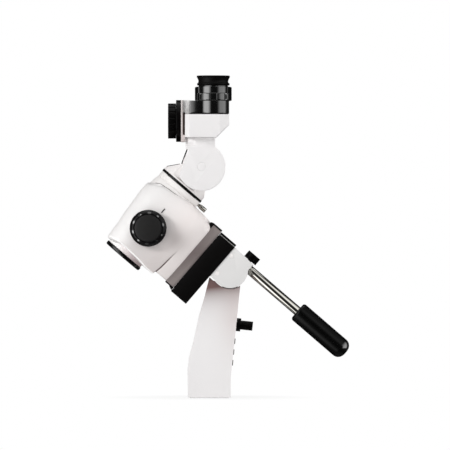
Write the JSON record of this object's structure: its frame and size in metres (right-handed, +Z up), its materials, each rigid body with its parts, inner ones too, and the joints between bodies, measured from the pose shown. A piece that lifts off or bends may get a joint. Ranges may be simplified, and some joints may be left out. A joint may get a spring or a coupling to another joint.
{
  "type": "colposcope",
  "caption": "Colposcope head on its tilting arm: stereo microscope with inclined binocular tube, magnification knobs and a focusing handle.",
  "frame": {"origin": "Middle of the arm's flat foot, where it stands on its column; +Z is up and +X points back to the operator, so the objective looks down and forward, to -X.", "axes": "+X points back to the operator, on the side of the handle; +Y runs across the object, away from the viewer of its left side; +Z is up along the arm."},
  "size_m": [0.3526, 0.1454, 0.4663],
  "materials": {
    "white_paint": "satin",
    "cast_alloy": "matte",
    "black_paint": "satin",
    "grey_paint": "satin",
    "black_knob": "matte",
    "grip_black": "gloss",
    "rubber_black": "matte",
    "polished_steel": "polished",
    "steel": "satin",
    "bronze": "satin",
    "board_green": "matte",
    "optical_glass": "gloss",
    "mirror_glass": "polished"
  },
  "bodies": {
    "arm": {"foot_plate": "cast_alloy", "arm_core": "cast_alloy", "arm_shell_left": "white_paint", "arm_shell_right": "white_paint", "foot_screws": "steel", "control_board": "board_green"},
    "brightness_knob": {"brightness_knob": "black_knob"},
    "button_upper": {"button_upper": "black_knob"},
    "button_middle": {"button_middle": "black_knob"},
    "button_lower": {"button_lower": "black_knob"},
    "bracket": {"tilt_bracket": "white_paint", "bracket_cover_left": "white_paint", "bracket_cover_right": "white_paint", "bracket_screws": "white_paint", "tilt_axle": "steel", "bracket_bushes": "steel", "focus_housing": "black_paint", "housing_caps": "black_paint", "guide_rails": "steel"},
    "handle": {"handle_rod": "polished_steel", "handle_grip": "grip_black"},
    "idler": {"idler_gear": "bronze"},
    "clamp": {"clamp_knob": "black_knob"},
    "microscope": {"focus_slide": "grey_paint", "slide_caps": "black_paint", "focus_rack": "bronze", "body_shell_left": "white_paint", "body_shell_right": "white_paint", "body_frame": "cast_alloy", "collar": "white_paint", "lamp": "steel", "lamp_prism": "optical_glass", "objective_barrel": "white_paint", "objective_ring": "black_paint", "objective_lenses": "optical_glass"},
    "changer": {"changer_drum": "steel", "changer_lenses": "optical_glass", "changer_knob_left": "black_knob", "changer_knob_right": "black_knob"},
    "dovetail_screw": {"dovetail_screw": "steel"},
    "binocular_base": {"dovetail_ring": "black_paint", "base_housing": "white_paint", "inclination_pins": "white_paint"},
    "deflector": {"deflector_mirror": "mirror_glass"},
    "head": {"head_neck": "white_paint", "head_shell": "white_paint", "front_plate": "white_paint", "front_block": "grey_paint", "pd_flange": "black_paint", "slide_deck": "black_paint", "head_prisms": "optical_glass"},
    "pd_knob": {"pd_knob": "black_knob"},
    "eyepiece_left": {"carrier_left": "black_paint"},
    "eyepiece_right": {"carrier_right": "black_paint"},
    "dioptre_left": {"dioptre_ring_left": "black_knob"},
    "dioptre_right": {"dioptre_ring_right": "black_knob"},
    "ocular_left": {"ocular_left": "black_knob", "eyecup_left": "rubber_black"},
    "ocular_right": {"ocular_right": "black_knob", "eyecup_right": "rubber_black"}
  },
  "joints": [
    {"name": "tilt", "type": "hinge", "parent": "arm", "child": "bracket", "pos_m": [0.0299, 0, 0.1849], "axis": [0, 1, 0], "range_deg": [0, 30]},
    {"name": "focus", "type": "slide", "parent": "bracket", "child": "microscope", "axis": [0.6521, 0, 0.7581], "range_m": [-0.009, 0.009]},
    {"name": "handle_twist", "type": "hinge", "parent": "bracket", "child": "handle", "pos_m": [0.0553, 0, 0.18759], "axis": [0.7581, 0, -0.6521], "range_deg": [-90, 90]},
    {"name": "idler_turn", "type": "hinge", "parent": "bracket", "child": "idler", "pos_m": [0.01193, 0, 0.19851], "axis": [0.7581, 0, -0.6521], "range_deg": [-40, 40]},
    {"name": "clamp_turn", "type": "hinge", "parent": "bracket", "child": "clamp", "pos_m": [0.06042, 0, 0.2006], "axis": [0.6521, 0, 0.7581], "range_deg": [0, 90]},
    {"name": "magnification", "type": "hinge", "parent": "microscope", "child": "changer", "pos_m": [-0.08818, 0, 0.24544], "axis": [0, 1, 0], "continuous": true},
    {"name": "dovetail_turn", "type": "hinge", "parent": "microscope", "child": "dovetail_screw", "pos_m": [-0.0131, 0, 0.27676], "axis": [0.7581, 0, -0.6521], "range_deg": [0, 360]},
    {"name": "swivel", "type": "hinge", "parent": "microscope", "child": "binocular_base", "pos_m": [-0.04003, 0, 0.30678], "axis": [0.6521, 0, 0.7581], "continuous": true},
    {"name": "inclination", "type": "hinge", "parent": "binocular_base", "child": "head", "pos_m": [-0.01132, 0, 0.33419], "axis": [0, 1, 0], "range_deg": [0, 128]},
    {"name": "deflection", "type": "hinge", "parent": "binocular_base", "child": "deflector", "pos_m": [-0.01132, 0, 0.33419], "axis": [0, 1, 0], "range_deg": [0, 64]},
    {"name": "pupil_knob", "type": "hinge", "parent": "head", "child": "pd_knob", "pos_m": [-0.05132, 0, 0.40089], "axis": [1, 0, 0], "range_deg": [-45, 45]},
    {"name": "pupil_left", "type": "slide", "parent": "head", "child": "eyepiece_left", "axis": [0, -1, 0], "range_m": [-0.0046, 0.0046]},
    {"name": "pupil_right", "type": "slide", "parent": "head", "child": "eyepiece_right", "axis": [0, 1, 0], "range_m": [-0.0046, 0.0046]},
    {"name": "dioptre_left", "type": "hinge", "parent": "eyepiece_left", "child": "dioptre_left", "pos_m": [0.00568, -0.032, 0.44019], "axis": [0, 0, 1], "range_deg": [-150, 150]},
    {"name": "dioptre_right", "type": "hinge", "parent": "eyepiece_right", "child": "dioptre_right", "pos_m": [0.00568, 0.032, 0.44019], "axis": [0, 0, 1], "range_deg": [-150, 150]},
    {"name": "ocular_lift_left", "type": "slide", "parent": "eyepiece_left", "child": "ocular_left", "axis": [0, 0, 1], "range_m": [-0.00198, 0.00198]},
    {"name": "ocular_lift_right", "type": "slide", "parent": "eyepiece_right", "child": "ocular_right", "axis": [0, 0, 1], "range_m": [-0.00198, 0.00198]},
    {"name": "brightness", "type": "hinge", "parent": "arm", "child": "brightness_knob", "pos_m": [0.03884, 0, 0.1058], "axis": [0.9947, 0, -0.1028], "range_deg": [-135, 135]},
    {"name": "press_upper", "type": "slide", "parent": "arm", "child": "button_upper", "axis": [-0.9947, 0, 0.1028], "range_m": [0, 0.0012], "stiffness_N_per_m": 800},
    {"name": "press_middle", "type": "slide", "parent": "arm", "child": "button_middle", "axis": [-0.9947, 0, 0.1028], "range_m": [0, 0.0012], "stiffness_N_per_m": 800},
    {"name": "press_lower", "type": "slide", "parent": "arm", "child": "button_lower", "axis": [-0.9947, 0, 0.1028], "range_m": [0, 0.0012], "stiffness_N_per_m": 800}
  ],
  "couplings": [
    {"joint": "handle_twist", "follows": "focus", "rad_per_m": -166.67},
    {"joint": "idler_turn", "follows": "focus", "rad_per_m": 71.429},
    {"joint": "deflection", "follows": "inclination", "ratio": 0.5},
    {"joint": "pupil_right", "follows": "pupil_left", "ratio": 1},
    {"joint": "pupil_knob", "follows": "pupil_left", "rad_per_m": 166.67},
    {"joint": "dioptre_left", "follows": "ocular_lift_left", "rad_per_m": 1315.8},
    {"joint": "dioptre_right", "follows": "ocular_lift_right", "rad_per_m": 1315.8}
  ]
}
